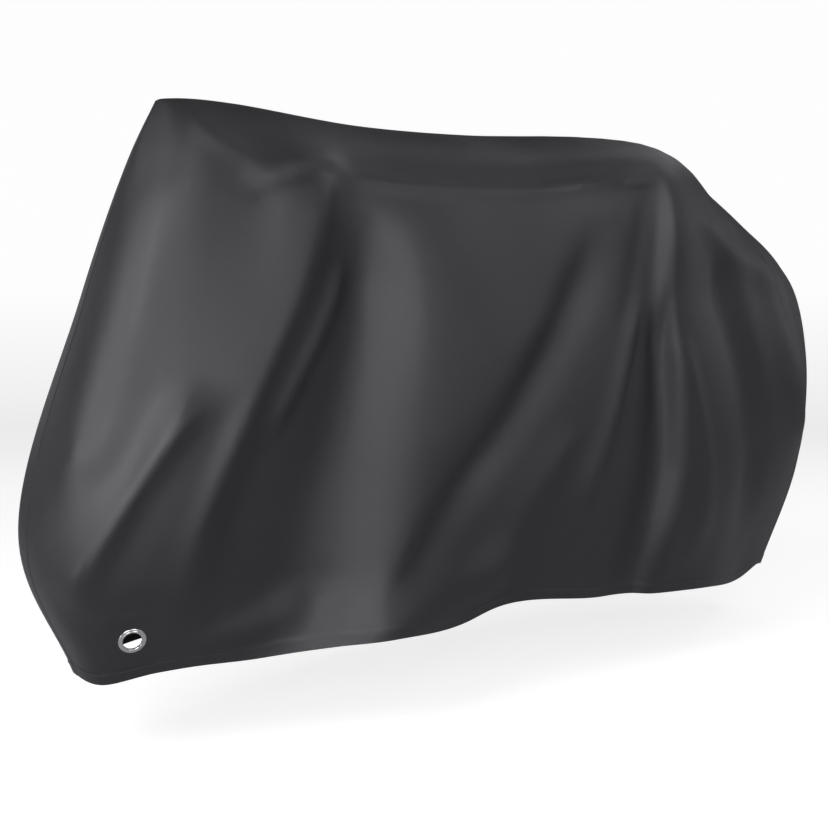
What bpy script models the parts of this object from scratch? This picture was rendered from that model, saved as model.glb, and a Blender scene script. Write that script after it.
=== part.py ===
"""Fitted bicycle cover, as it hangs over a bicycle that is left out.

The cover is one sheet of thin cloth, closed by a seam at each end. It lies on the saddle and on
both handlebar grips, and falls past the two wheels to an open hem. A band of the same cloth
round the rear wheel holds two metal eyelets, one a side, for a lock to pass through.

Every place on the cloth has two measures:
  run   metres round the cover: 0 at the rear seam, RUN_LENGTH at the front seam, positive on the
        near side (-Y) and negative on the far side (+Y)
  fall  0 on the ridge along the top, 1 at the hem
SECTIONS gives the smooth drape of one side, and FOLDS the folds that lie on it. Heights in the
tables are above the ground that the bicycle stands on. The model's origin is the saddle's rest
point, on the inner face of the cloth: +X is towards the front wheel, +Z is up.
"""

import math
from typing import NamedTuple

import bmesh
import bpy
import numpy as np
from mathutils import Matrix, Vector

# ---- driving dimensions (metres) -------------------------------------------------------------
CLOTH_THICKNESS = 0.002
PIECE_GAP = 0.0007              # between the cover's cut edge and the band sewn into it
SADDLE_REST = (-0.030, 0.0, 1.008)   # the saddle's top, in the tables' measures

BAND_RUN = 0.270                # the eyelet band reaches this far round from the rear seam
BAND_FALL = 0.860               # and from here down to the hem
EYELET_RUN = 0.171
EYELET_FALL = 0.931
EYELET_HOLE_RADIUS = 0.0140     # the clear opening
EYELET_BARREL_RADIUS = 0.0160
EYELET_FLANGE_RADIUS = 0.0205
EYELET_FLANGE_THICKNESS = 0.0011     # at the crown
EYELET_CLEARANCE = 0.0003       # between a flange and the cloth it grips
CLOTH_HOLE_RADIUS = 0.0165
EYELET_FLAT_RADIUS = 0.036      # the cloth is pulled flat this far round an eyelet
EYELET_BLEND_RADIUS = 0.054     # and is back on its drape here

# ---- mesh fineness ---------------------------------------------------------------------------
BAND_COLUMNS = 15               # columns from the rear seam to the band's end, one side
SIDE_COLUMNS = 48               # columns from there to the front seam
TOP_ROWS = 14                   # rows from the ridge to the band's top
HEM_ROWS = 3                    # rows from there to the hem, beside the band
BAND_ROWS = 8
ROUND_STEPS = 32
PROBE = 0.002                   # how far apart two points that give a slope are taken

# ---- the smooth drape ------------------------------------------------------------------------
LEVEL_FALLS = np.array([0.0, 0.14, 0.42, 0.78, 1.0])   # ridge, shoulder, flank, belly, hem
SHOULDER = 1


class Section(NamedTuple):
    """One line down the cloth, from the ridge to the hem: x, distance out from the middle, z."""

    name: str
    run: float
    ridge: tuple
    shoulder: tuple
    flank: tuple
    belly: tuple
    hem: tuple


# name, run, ridge, shoulder, flank, belly, hem
SECTIONS = (
    Section("rear seam", 0.00, (-.152, 0, 1.000), (-.191, .000, .920), (-.269, .000, .700),
            (-.366, .000, .335), (-.295, .000, .130)),
    Section("rear corner", 0.10, (-.143, 0, 1.004), (-.172, .045, .920), (-.245, .075, .700),
            (-.345, .085, .335), (-.275, .055, .125)),
    Section("saddle rear", 0.20, (-.115, 0, 1.008), (-.130, .075, .930), (-.180, .120, .700),
            (-.250, .130, .350), (-.200, .080, .138)),
    Section("saddle nose", 0.38, (-.030, 0, 1.010), (-.020, .090, .950), (-.030, .150, .700),
            (-.080, .160, .370), (-.050, .130, .142)),
    Section("top tube", 0.62, (.200, 0, .999), (.200, .130, .930), (.200, .190, .680),
            (.170, .200, .380), (.145, .214, .160)),
    Section("hem step", 0.78, (.347, 0, 1.001), (.353, .175, .928), (.353, .216, .678),
            (.330, .198, .379), (.309, .180, .152)),
    Section("stem", 0.86, (.420, 0, 1.004), (.430, .200, .930), (.430, .230, .680),
            (.410, .210, .380), (.392, .170, .164)),
    Section("grip", 1.12, (.660, 0, 1.007), (.685, .290, .951), (.680, .285, .700),
            (.680, .262, .400), (.630, .208, .155)),
    Section("fork", 1.36, (.890, 0, .955), (.890, .230, .901), (.910, .270, .680),
            (.920, .260, .400), (.890, .225, .140)),
    Section("front wheel", 1.60, (1.120, 0, .889), (1.083, .156, .863), (1.130, .210, .650),
            (1.130, .205, .390), (1.090, .150, .114)),
    Section("front corner", 1.82, (1.300, 0, .832), (1.299, .084, .804), (1.345, .125, .620),
            (1.330, .125, .360), (1.230, .100, .122)),
    Section("front bend", 1.92, (1.364, 0, .809), (1.396, .053, .757), (1.427, .080, .570),
            (1.388, .085, .335), (1.300, .060, .112)),
    Section("front seam", 2.01, (1.390, 0, .800), (1.435, .000, .740), (1.468, .000, .550),
            (1.425, .000, .325), (1.325, .000, .112)),
)
RUN_LENGTH = SECTIONS[-1].run

# ---- the folds -------------------------------------------------------------------------------
NEAR = 1.0
FAR = -1.0
FALL_METRES = 0.95              # about the cloth's length from ridge to hem, for fold widths
FADE_BEFORE = 0.08              # a fold starts this share of its length early, and ends as late
FADE_SHARE = 0.25


class Fold(NamedTuple):
    """A long ridge (height above 0) or trough (below 0) in the cloth, straight but for its bow."""

    name: str
    side: float
    run_top: float
    fall_top: float
    run_end: float
    fall_end: float
    bow: float
    width_top: float
    width_end: float
    height: float
    lean: float                 # above 0: a long slope behind the crest and a short one ahead


FOLDS = (
    # name, side, run and fall at the top, run and fall at the end, bow, widths, height, lean
    Fold("saddle fold", NEAR, 0.492, 0.16, 0.205, 0.98, 0.000, 0.058, 0.095, 0.029, 0.40),
    Fold("valley side", NEAR, 0.552, 0.28, 0.465, 1.00, 0.008, 0.046, 0.122, -0.038, -0.05),
    Fold("rear crease", NEAR, 0.262, 0.57, 0.108, 0.85, 0.000, 0.030, 0.026, 0.015, 0.15),
    Fold("rear hollow", NEAR, 0.320, 0.57, 0.205, 0.98, 0.000, 0.032, 0.065, -0.010, 0.00),
    Fold("rear edge", NEAR, 0.103, 0.61, 0.150, 0.89, 0.012, 0.050, 0.046, 0.013, -0.25),
    Fold("rear panel", NEAR, 0.150, 0.20, 0.130, 0.66, -0.022, 0.070, 0.080, 0.006, 0.00),
    Fold("flank trough", NEAR, 0.970, 0.30, 0.620, 0.94, 0.022, 0.040, 0.032, -0.015, -0.25),
    Fold("flank swell", NEAR, 0.932, 0.37, 0.600, 0.95, -0.030, 0.082, 0.060, 0.007, 0.20),
    Fold("cone gap", NEAR, 1.118, 0.42, 1.184, 1.03, -0.002, 0.016, 0.050, -0.020, 0.45),
    Fold("grip cone", NEAR, 1.096, 0.20, 1.236, 0.98, 0.000, 0.036, 0.132, 0.025, -0.56),
    Fold("front trough", NEAR, 1.290, 0.28, 1.540, 0.88, 0.000, 0.060, 0.095, -0.024, 0.00),
    Fold("front swell", NEAR, 1.500, 0.22, 1.800, 0.76, 0.000, 0.062, 0.085, 0.016, 0.00),
    Fold("middle ridge", NEAR, 0.610, 0.24, 0.800, 0.68, 0.000, 0.070, 0.110, 0.007, 0.30),
    Fold("hem swell", NEAR, 0.540, 0.98, 0.900, 0.90, -0.012, 0.050, 0.045, 0.014, 0.00),
    Fold("saddle fold", FAR, 0.420, 0.30, 0.300, 0.96, 0.015, 0.040, 0.070, 0.018, 0.20),
    Fold("flank trough", FAR, 0.840, 0.26, 0.660, 0.97, 0.020, 0.036, 0.055, -0.012, 0.00),
    Fold("grip cone", FAR, 1.120, 0.15, 1.200, 1.03, 0.000, 0.036, 0.090, 0.026, 0.00),
    Fold("cone gap", FAR, 1.220, 0.34, 1.380, 1.03, 0.000, 0.036, 0.070, -0.018, 0.00),
    Fold("rear gap", FAR, 1.040, 0.36, 1.020, 1.03, 0.000, 0.030, 0.060, -0.014, 0.00),
)


def smooth_step(share):
    """Return 0 below 0 and 1 above 1, with a smooth rise between."""
    share = np.clip(share, 0.0, 1.0)
    return share * share * (3.0 - 2.0 * share)


def slopes(knots, points):
    """Return the slope at each point of a curve through points, along the next-to-last axis."""
    step = np.diff(knots, axis=-1)[..., None]
    chord = np.diff(points, axis=-2) / step
    inner = (chord[..., :-1, :] * step[..., 1:, :] + chord[..., 1:, :] * step[..., :-1, :])
    inner = inner / (step[..., 1:, :] + step[..., :-1, :])
    return np.concatenate([chord[..., :1, :], inner, chord[..., -1:, :]], axis=-2)


def hermite(share, step, start, end, slope_start, slope_end):
    """Return the cubic from start to end at share (0 to 1) of the step between them."""
    rise = share * share * (3.0 - 2.0 * share)
    return (start + rise * (end - start)
            + step * share * (1.0 - share) ** 2 * slope_start
            - step * share ** 2 * (1.0 - share) * slope_end)


def section_loop():
    """Return the closed loop of sections, a little over one turn: runs, (section, level, xyz)."""
    runs = np.array([section.run for section in SECTIONS])
    near = np.array([section[2:] for section in SECTIONS])
    near[..., 1] *= -1.0
    far = near * np.array([1.0, -1.0, 1.0])
    turn = 2.0 * RUN_LENGTH
    loop_runs = np.concatenate([-runs[1:2], runs, turn - runs[-2::-1], turn + runs[1:2]])
    return loop_runs, np.concatenate([far[1:2], near, far[-2::-1], near[1:2]])


def sections_at(run):
    """Return the level points of the cloth at each signed run, as (run, level, xyz)."""
    loop_runs, loop = section_loop()
    slope = slopes(loop_runs, loop.transpose(1, 0, 2)).transpose(1, 0, 2)
    place = np.mod(run, 2.0 * RUN_LENGTH)
    index = np.searchsorted(loop_runs, place, side="right") - 1
    step = (loop_runs[index + 1] - loop_runs[index])[:, None, None]
    share = (place - loop_runs[index])[:, None, None] / step
    return hermite(share, step, loop[index], loop[index + 1], slope[index], slope[index + 1])


def smooth_drape(run, fall):
    """Return the smooth cloth at each signed run and each fall, as (run, fall, xyz)."""
    own = sections_at(run)
    other = sections_at(-run)
    points = np.concatenate([other[:, SHOULDER:SHOULDER + 1], own], axis=1)
    chord = np.sqrt(np.linalg.norm(np.diff(points, axis=1), axis=2))
    knots = np.concatenate([np.zeros((len(run), 1)), np.cumsum(chord, axis=1)], axis=1)
    slope = slopes(knots, points)
    level = np.clip(np.searchsorted(LEVEL_FALLS, fall, side="right") - 1, 0, 3)
    share = (fall - LEVEL_FALLS[level]) / (LEVEL_FALLS[level + 1] - LEVEL_FALLS[level])
    start = level + 1
    step = (knots[:, start + 1] - knots[:, start])[..., None]
    return hermite(share[None, :, None], step, points[:, start], points[:, start + 1],
                   slope[:, start], slope[:, start + 1])


def outward(run, fall):
    """Return the cloth's unit normals, pointing out of the cover, as (run, fall, xyz)."""
    inner_fall = np.clip(fall, PROBE, 1.0)
    along = smooth_drape(run + PROBE, inner_fall) - smooth_drape(run - PROBE, inner_fall)
    low_fall = np.clip(fall - PROBE, 0.0, 1.0)
    high_fall = np.clip(fall + PROBE, 0.0, 1.0)
    down = smooth_drape(run, high_fall) - smooth_drape(run, low_fall)
    normal = np.cross(down, along)
    return normal / np.linalg.norm(normal, axis=2, keepdims=True)


def fold_height(run, fall):
    """Return how far the folds stand out of the smooth drape, as (run, fall)."""
    height = np.zeros((len(run), len(fall)))
    for fold in FOLDS:
        top = np.array([fold.run_top, fold.fall_top * FALL_METRES])
        end = np.array([fold.run_end, fold.fall_end * FALL_METRES])
        length = np.linalg.norm(end - top)
        course = (end - top) / length
        ahead = run[:, None] * fold.side - top[0]
        below = fall[None, :] * FALL_METRES - top[1]
        share = (ahead * course[0] + below * course[1]) / length
        off = ahead * course[1] - below * course[0] - fold.bow * 4.0 * share * (1.0 - share)
        width = fold.width_top + (fold.width_end - fold.width_top) * np.clip(share, 0.0, 1.0)
        width = width * np.where(off < 0.0, 1.0 + fold.lean, 1.0 - fold.lean)
        fade = smooth_step((share + FADE_BEFORE) / FADE_SHARE)
        fade = fade * smooth_step((1.0 + FADE_BEFORE - share) / FADE_SHARE)
        height += fold.height * fade * np.exp(-(off / width) ** 2)
    return height


def to_model(points):
    """Move points from the tables' measures to the model's origin."""
    inner_face = np.array(SADDLE_REST)
    return points - inner_face


def folded_cloth(run, fall):
    """Return the outer face of the cloth with its folds, in the model's frame."""
    height = fold_height(run, fall)[..., None]
    return to_model(smooth_drape(run, fall) + outward(run, fall) * height)


def eyelet_place(side):
    """Return the middle of one side's eyelet on the cloth's outer face, and its way out."""
    run = np.array([side * EYELET_RUN])
    fall = np.array([EYELET_FALL])
    centre = folded_cloth(run, fall)[0, 0]
    return centre, outward(run, fall)[0, 0]


def pulled_flat(points):
    """Return the points with the cloth flat round each eyelet."""
    for side in (NEAR, FAR):
        centre, normal = eyelet_place(side)
        offset = points - centre
        height = offset @ normal
        distance = np.linalg.norm(offset, axis=-1)
        blend = EYELET_BLEND_RADIUS - EYELET_FLAT_RADIUS
        hold = smooth_step((EYELET_BLEND_RADIUS - distance) / blend)
        points = points - (hold * height)[..., None] * normal
    return points


def flat_sheet(name, columns, rows):
    """Return an empty object and a flat grid bmesh with its corner (0, 0) at the origin."""
    sheet = bmesh.new()
    bmesh.ops.create_grid(sheet, x_segments=columns, y_segments=rows, size=1.0)
    for vertex in sheet.verts:
        column = round((vertex.co.x + 1.0) * columns / 2.0)
        row = round((vertex.co.y + 1.0) * rows / 2.0)
        vertex.co = (column, row, 0.0)
    mesh = bpy.data.meshes.new(name)
    return bpy.data.objects.new(name, mesh), sheet


def lay(sheet, places):
    """Move each grid vertex from its (column, row) to its place."""
    for vertex in sheet.verts:
        vertex.co = Vector(places[round(vertex.co.x), round(vertex.co.y)])


def point_outwards(sheet):
    """Turn a sheet's faces to the outside: the near side faces -Y."""
    nearest = min(sheet.faces, key=lambda face: face.calc_center_median().y)
    if nearest.normal.y > 0.0:
        bmesh.ops.reverse_faces(sheet, faces=sheet.faces)


def thicken(cloth, sheet):
    """Write the sheet to its object, and give it its thickness inwards."""
    sheet.normal_update()
    point_outwards(sheet)
    sheet.to_mesh(cloth.data)
    sheet.free()
    cloth.data.shade_smooth()
    solidify = cloth.modifiers.new("Cloth thickness", "SOLIDIFY")
    solidify.thickness = CLOTH_THICKNESS
    solidify.offset = -1.0
    solidify.use_even_offset = True


def build_cover(cloth_material):
    """Build the cover: one sheet, cut out for the eyelet band, seamed at both ends."""
    rear = np.linspace(0.0, BAND_RUN, BAND_COLUMNS + 1)[:-1]
    side = np.linspace(BAND_RUN + PIECE_GAP / 2.0, RUN_LENGTH, SIDE_COLUMNS + 1)
    runs = np.concatenate([rear, side])
    top = np.linspace(0.0, BAND_FALL, TOP_ROWS + 1)
    below = np.linspace(BAND_FALL, 1.0, HEM_ROWS + 1)[1:]
    falls = np.concatenate([top, below])
    near = pulled_flat(folded_cloth(runs, falls))
    far = pulled_flat(folded_cloth(-runs, falls))
    places = np.concatenate([near[:, :0:-1], far], axis=1)

    rows = len(falls) - 1
    cover, sheet = flat_sheet("cover_cloth", len(runs) - 1, 2 * rows)
    in_band = [face for face in sheet.faces
               if face.calc_center_median().x < BAND_COLUMNS
               and abs(face.calc_center_median().y - rows) > TOP_ROWS]
    bmesh.ops.delete(sheet, geom=in_band, context="FACES")
    lay(sheet, places)
    bmesh.ops.remove_doubles(sheet, verts=sheet.verts, dist=CLOTH_THICKNESS / 100.0)
    thicken(cover, sheet)
    cover.data.materials.append(cloth_material)
    return cover


def build_band(cloth_material):
    """Build the band round the rear wheel that holds the eyelets."""
    runs = np.linspace(-1.0, 1.0, 2 * BAND_COLUMNS + 1) * BAND_RUN
    runs[0] += PIECE_GAP / 2.0
    runs[-1] -= PIECE_GAP / 2.0
    falls = np.linspace(BAND_FALL + PIECE_GAP / FALL_METRES, 1.0, BAND_ROWS + 1)
    band, sheet = flat_sheet("eyelet_band", len(runs) - 1, BAND_ROWS)
    lay(sheet, pulled_flat(folded_cloth(runs, falls)))
    thicken(band, sheet)
    band.data.materials.append(cloth_material)
    return band


def placed_at_eyelet(side, depth):
    """Return the matrix that stands a turned piece in an eyelet, depth below the outer face."""
    centre, normal = eyelet_place(side)
    way_out = Vector(normal)
    turn = way_out.to_track_quat("Z", "Y").to_matrix().to_4x4()
    return Matrix.Translation(Vector(centre) - way_out * depth) @ turn


def build_hole_cutter(name, side):
    """Build the punch that opens the band for one eyelet."""
    bpy.ops.mesh.primitive_cylinder_add(vertices=ROUND_STEPS, radius=CLOTH_HOLE_RADIUS,
                                        depth=10.0 * CLOTH_THICKNESS)
    cutter = bpy.context.object
    cutter.name = name
    cutter.matrix_world = placed_at_eyelet(side, CLOTH_THICKNESS / 2.0)
    cutter.hide_render = True
    cutter.display_type = "WIRE"
    return cutter


def eyelet_profile():
    """Return the (radius, height) outline of an eyelet, down its outer side and up its hole."""
    grip = CLOTH_THICKNESS / 2.0 + EYELET_CLEARANCE
    flange = EYELET_FLANGE_THICKNESS
    crown = (EYELET_HOLE_RADIUS + EYELET_FLANGE_RADIUS) / 2.0
    front = [(EYELET_HOLE_RADIUS, grip + 0.30 * flange),
             (EYELET_HOLE_RADIUS + 0.4 * flange, grip + 0.85 * flange),
             (crown - 0.8 * flange, grip + 1.10 * flange),
             (crown + 0.8 * flange, grip + 1.00 * flange),
             (EYELET_FLANGE_RADIUS - 0.4 * flange, grip + 0.65 * flange),
             (EYELET_FLANGE_RADIUS, grip)]
    barrel = [(EYELET_BARREL_RADIUS, grip), (EYELET_BARREL_RADIUS, -grip)]
    back = [(EYELET_FLANGE_RADIUS, -grip),
            (EYELET_FLANGE_RADIUS - 0.3 * flange, -grip - 0.6 * flange),
            (EYELET_HOLE_RADIUS + 0.4 * flange, -grip - 0.8 * flange),
            (EYELET_HOLE_RADIUS, -grip - 0.3 * flange)]
    return front + barrel + back


def build_eyelet(name, side, metal_material):
    """Build one eyelet: a turned ring whose two flanges grip the cloth."""
    profile = eyelet_profile()
    mesh = bpy.data.meshes.new(name)
    corners = [(radius, 0.0, height) for radius, height in profile]
    edges = [(index, (index + 1) % len(corners)) for index in range(len(corners))]
    mesh.from_pydata(corners, edges, [])
    eyelet = bpy.data.objects.new(name, mesh)
    eyelet.matrix_world = placed_at_eyelet(side, CLOTH_THICKNESS / 2.0)
    turned = eyelet.modifiers.new("Turned ring", "SCREW")
    turned.angle = math.tau
    turned.steps = ROUND_STEPS
    turned.render_steps = ROUND_STEPS
    turned.use_merge_vertices = True
    turned.merge_threshold = 0.00001
    turned.use_smooth_shade = True
    mesh.materials.append(metal_material)
    return eyelet


def make_material(name, colour, roughness, metallic):
    """Make a Principled material."""
    material = bpy.data.materials.new(name)
    material.use_nodes = True
    shader = material.node_tree.nodes["Principled BSDF"]
    shader.inputs["Base Color"].default_value = (*colour, 1.0)
    shader.inputs["Roughness"].default_value = roughness
    shader.inputs["Metallic"].default_value = metallic
    return material


def move_to(collection, piece):
    """Put a piece in one collection only."""
    for current in list(piece.users_collection):
        current.objects.unlink(piece)
    collection.objects.link(piece)


def main():
    for leftover in list(bpy.data.objects):
        bpy.data.objects.remove(leftover)
    parts = bpy.data.collections.new("bicycle_cover")
    cutters = bpy.data.collections.new("cutters")
    for collection in (parts, cutters):
        bpy.context.scene.collection.children.link(collection)

    cloth = make_material("black_cover_cloth", (0.035, 0.035, 0.038), 0.50, 0.0)
    metal = make_material("plated_eyelet", (0.62, 0.62, 0.62), 0.22, 1.0)

    move_to(parts, build_cover(cloth))
    band = build_band(cloth)
    move_to(parts, band)
    for label, side in (("near", NEAR), ("far", FAR)):
        cutter = build_hole_cutter(f"hole_punch_{label}", side)
        move_to(cutters, cutter)
        punch = band.modifiers.new(f"Hole {label}", "BOOLEAN")
        punch.operation = "DIFFERENCE"
        punch.object = cutter
        move_to(parts, build_eyelet(f"eyelet_{label}", side, metal))


main()
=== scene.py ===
"""Looks of a fitted bicycle cover: its cloth and folds, hem stitching, eyelets and a studio."""

import logging
import math
from dataclasses import dataclass, field
from enum import Enum

import bmesh
import bpy
import numpy as np
from mathutils import Matrix, Vector


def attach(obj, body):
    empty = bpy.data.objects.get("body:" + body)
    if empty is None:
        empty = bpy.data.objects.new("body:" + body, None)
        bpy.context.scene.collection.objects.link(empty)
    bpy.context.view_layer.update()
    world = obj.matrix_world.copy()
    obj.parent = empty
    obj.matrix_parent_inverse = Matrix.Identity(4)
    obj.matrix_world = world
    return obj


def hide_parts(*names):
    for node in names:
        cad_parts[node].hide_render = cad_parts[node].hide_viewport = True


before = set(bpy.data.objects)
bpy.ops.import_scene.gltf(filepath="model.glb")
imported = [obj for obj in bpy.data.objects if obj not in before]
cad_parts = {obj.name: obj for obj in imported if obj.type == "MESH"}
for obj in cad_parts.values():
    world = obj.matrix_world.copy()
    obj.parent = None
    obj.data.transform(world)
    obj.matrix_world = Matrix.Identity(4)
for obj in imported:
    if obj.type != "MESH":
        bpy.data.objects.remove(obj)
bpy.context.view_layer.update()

LOG = logging.getLogger("bicycle_cover")
BODY = "root"
CLOTH_MAP = "cloth"
WHITE = (1.0, 1.0, 1.0, 1.0)
QUARTER_TURN = 90.0

Array = np.ndarray
Colour = tuple[float, float, float]
Feeds = dict[str | int, object]
Steps = tuple[tuple[float, float], ...]


class Side(Enum):
    """A side of the cover: the sign that its run has."""

    NEAR = 1
    FAR = -1


class Slot(Enum):
    """The material slots."""

    CLOTH = "cover_cloth"
    METAL = "plated_eyelet"


# ---- The cloth's shape ----


@dataclass(frozen=True)
class Section:
    """One line down the cloth. Each point is x, distance out from the middle, height (m)."""

    name: str
    run: float
    ridge: tuple[float, float, float]
    shoulder: tuple[float, float, float]
    flank: tuple[float, float, float]
    belly: tuple[float, float, float]
    hem: tuple[float, float, float]

    def points(self) -> list[tuple[float, float, float]]:
        """Return the points from the ridge to the hem."""
        return [self.ridge, self.shoulder, self.flank, self.belly, self.hem]


@dataclass(frozen=True)
class Fold:
    """A long ridge (height above 0) or trough (below 0), straight but for its bow.

    Runs and widths are metres, and falls are shares of the way from the ridge to the hem. A
    lean above 0 gives a long slope behind the crest and a short one ahead of it.
    """

    name: str
    side: Side
    run_top: float
    fall_top: float
    run_end: float
    fall_end: float
    bow: float
    width_top: float
    width_end: float
    height: float
    lean: float


SECTIONS: tuple[Section, ...] = (
    Section("rear seam", 0.00, (-.152, 0, 1.000), (-.191, .000, .920), (-.269, .000, .700),
            (-.366, .000, .335), (-.295, .000, .130)),
    Section("rear corner", 0.10, (-.143, 0, 1.004), (-.172, .045, .920), (-.245, .075, .700),
            (-.345, .085, .335), (-.275, .055, .125)),
    Section("saddle rear", 0.20, (-.115, 0, 1.008), (-.130, .075, .930), (-.180, .120, .700),
            (-.250, .130, .350), (-.200, .080, .138)),
    Section("saddle nose", 0.38, (-.030, 0, 1.010), (-.020, .090, .950), (-.030, .150, .700),
            (-.080, .160, .370), (-.050, .130, .142)),
    Section("top tube", 0.62, (.200, 0, .999), (.200, .130, .930), (.200, .190, .680),
            (.170, .200, .380), (.145, .214, .160)),
    Section("hem step", 0.78, (.347, 0, 1.001), (.353, .175, .928), (.353, .216, .678),
            (.330, .198, .379), (.309, .180, .152)),
    Section("stem", 0.86, (.420, 0, 1.004), (.430, .200, .930), (.430, .230, .680),
            (.410, .210, .380), (.392, .170, .164)),
    Section("grip", 1.12, (.660, 0, 1.007), (.685, .290, .951), (.680, .285, .700),
            (.680, .262, .400), (.630, .208, .155)),
    Section("fork", 1.36, (.890, 0, .955), (.890, .230, .901), (.910, .270, .680),
            (.920, .260, .400), (.890, .225, .140)),
    Section("front wheel", 1.60, (1.120, 0, .889), (1.083, .156, .863), (1.130, .210, .650),
            (1.130, .205, .390), (1.090, .150, .114)),
    Section("front corner", 1.82, (1.300, 0, .832), (1.299, .084, .804), (1.345, .125, .620),
            (1.330, .125, .360), (1.230, .100, .122)),
    Section("front bend", 1.92, (1.364, 0, .809), (1.396, .053, .757), (1.427, .080, .570),
            (1.388, .085, .335), (1.300, .060, .112)),
    Section("front seam", 2.01, (1.390, 0, .800), (1.435, .000, .740), (1.468, .000, .550),
            (1.425, .000, .325), (1.325, .000, .112)),
)

FOLDS: tuple[Fold, ...] = (
    # name, side, run and fall at the top, run and fall at the end, bow, widths, height, lean
    Fold("saddle fold", Side.NEAR, 0.492, 0.160, 0.205, 0.980, 0.000, 0.058, 0.095, 0.029, 0.40),
    Fold("valley side", Side.NEAR, 0.552, 0.280, 0.465, 1.000, 0.008, 0.046, 0.122, -0.038, -0.05),
    Fold("rear crease", Side.NEAR, 0.262, 0.570, 0.108, 0.850, 0.000, 0.030, 0.026, 0.015, 0.15),
    Fold("rear hollow", Side.NEAR, 0.320, 0.570, 0.205, 0.980, 0.000, 0.032, 0.065, -0.010, 0.00),
    Fold("rear edge", Side.NEAR, 0.103, 0.610, 0.150, 0.890, 0.012, 0.050, 0.046, 0.013, -0.25),
    Fold("rear panel", Side.NEAR, 0.150, 0.200, 0.130, 0.660, -0.022, 0.070, 0.080, 0.006, 0.00),
    Fold("flank trough", Side.NEAR, 0.970, 0.300, 0.620, 0.940, 0.022, 0.040, 0.032, -0.015, -0.25),
    Fold("flank swell", Side.NEAR, 0.932, 0.370, 0.600, 0.950, -0.030, 0.082, 0.060, 0.007, 0.20),
    Fold("cone gap", Side.NEAR, 1.118, 0.420, 1.184, 1.030, -0.002, 0.016, 0.050, -0.020, 0.45),
    Fold("grip cone", Side.NEAR, 1.096, 0.200, 1.236, 0.980, 0.000, 0.036, 0.132, 0.025, -0.56),
    Fold("front trough", Side.NEAR, 1.290, 0.280, 1.540, 0.880, 0.000, 0.060, 0.095, -0.024, 0.00),
    Fold("front swell", Side.NEAR, 1.500, 0.220, 1.800, 0.760, 0.000, 0.062, 0.085, 0.016, 0.00),
    Fold("middle ridge", Side.NEAR, 0.610, 0.240, 0.800, 0.680, 0.000, 0.070, 0.110, 0.007, 0.30),
    Fold("hem swell", Side.NEAR, 0.540, 0.980, 0.900, 0.900, -0.012, 0.050, 0.045, 0.014, 0.00),
    Fold("saddle edge", Side.NEAR, 0.436, 0.350, 0.262, 0.860, 0.000, 0.013, 0.018, 0.002, 0.50),
    Fold("inner strip", Side.NEAR, 0.505, 0.360, 0.398, 0.640, 0.000, 0.012, 0.018, 0.009, 0.25),
    Fold("cone lip", Side.NEAR, 1.066, 0.420, 1.000, 0.840, 0.000, 0.014, 0.020, 0.005, 0.30),
    Fold("cone shade", Side.NEAR, 1.055, 0.200, 1.040, 0.480, 0.000, 0.020, 0.018, -0.003, 0.00),
    Fold("cone core", Side.NEAR, 1.092, 0.250, 1.126, 0.550, 0.000, 0.012, 0.014, 0.003, -0.30),
    Fold("cone second", Side.NEAR, 1.155, 0.500, 1.300, 0.940, 0.000, 0.026, 0.034, 0.006, 0.20),
    Fold("crease edge", Side.NEAR, 0.250, 0.590, 0.118, 0.830, 0.000, 0.010, 0.011, 0.006, 0.20),
    Fold("front rim", Side.NEAR, 1.706, 0.240, 1.764, 0.600, 0.000, 0.041, 0.052, 0.005, 0.00),
    Fold("tip ridge", Side.NEAR, 1.180, 0.250, 1.660, 0.300, -0.010, 0.028, 0.040, 0.006, 0.00),
    Fold("small ridge", Side.NEAR, 0.958, 0.670, 0.825, 0.970, 0.000, 0.026, 0.045, 0.005, 0.35),
    Fold("top crease", Side.NEAR, 0.325, 0.265, 0.500, 0.205, 0.000, 0.008, 0.008, -0.004, 0.00),
    Fold("top crease swell", Side.NEAR, 0.320, 0.235, 0.520, 0.180, 0.000, 0.016, 0.016, 0.003, 0.00),
    Fold("shoulder line", Side.NEAR, 0.520, 0.205, 1.100, 0.192, -0.007, 0.012, 0.012, 0.008, 0.00),
    Fold("top hollow", Side.NEAR, 0.803, 0.080, 1.105, 0.110, 0.000, 0.030, 0.030, -0.004, 0.00),
    Fold("saddle line", Side.NEAR, 0.205, 0.085, 0.385, 0.235, 0.000, 0.024, 0.022, 0.004, 0.10),
    Fold("hem streak", Side.NEAR, 0.253, 0.960, 0.466, 0.920, -0.010, 0.022, 0.026, 0.006, 0.00),
    Fold("saddle fold", Side.FAR, 0.420, 0.300, 0.300, 0.960, 0.015, 0.040, 0.070, 0.018, 0.20),
    Fold("flank trough", Side.FAR, 0.840, 0.260, 0.660, 0.970, 0.020, 0.036, 0.055, -0.012, 0.00),
    Fold("grip cone", Side.FAR, 1.120, 0.150, 1.200, 1.030, 0.000, 0.036, 0.090, 0.026, 0.00),
    Fold("cone gap", Side.FAR, 1.220, 0.340, 1.380, 1.030, 0.000, 0.036, 0.070, -0.018, 0.00),
    Fold("rear gap", Side.FAR, 1.040, 0.360, 1.020, 1.030, 0.000, 0.030, 0.060, -0.014, 0.00),
)


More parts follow.
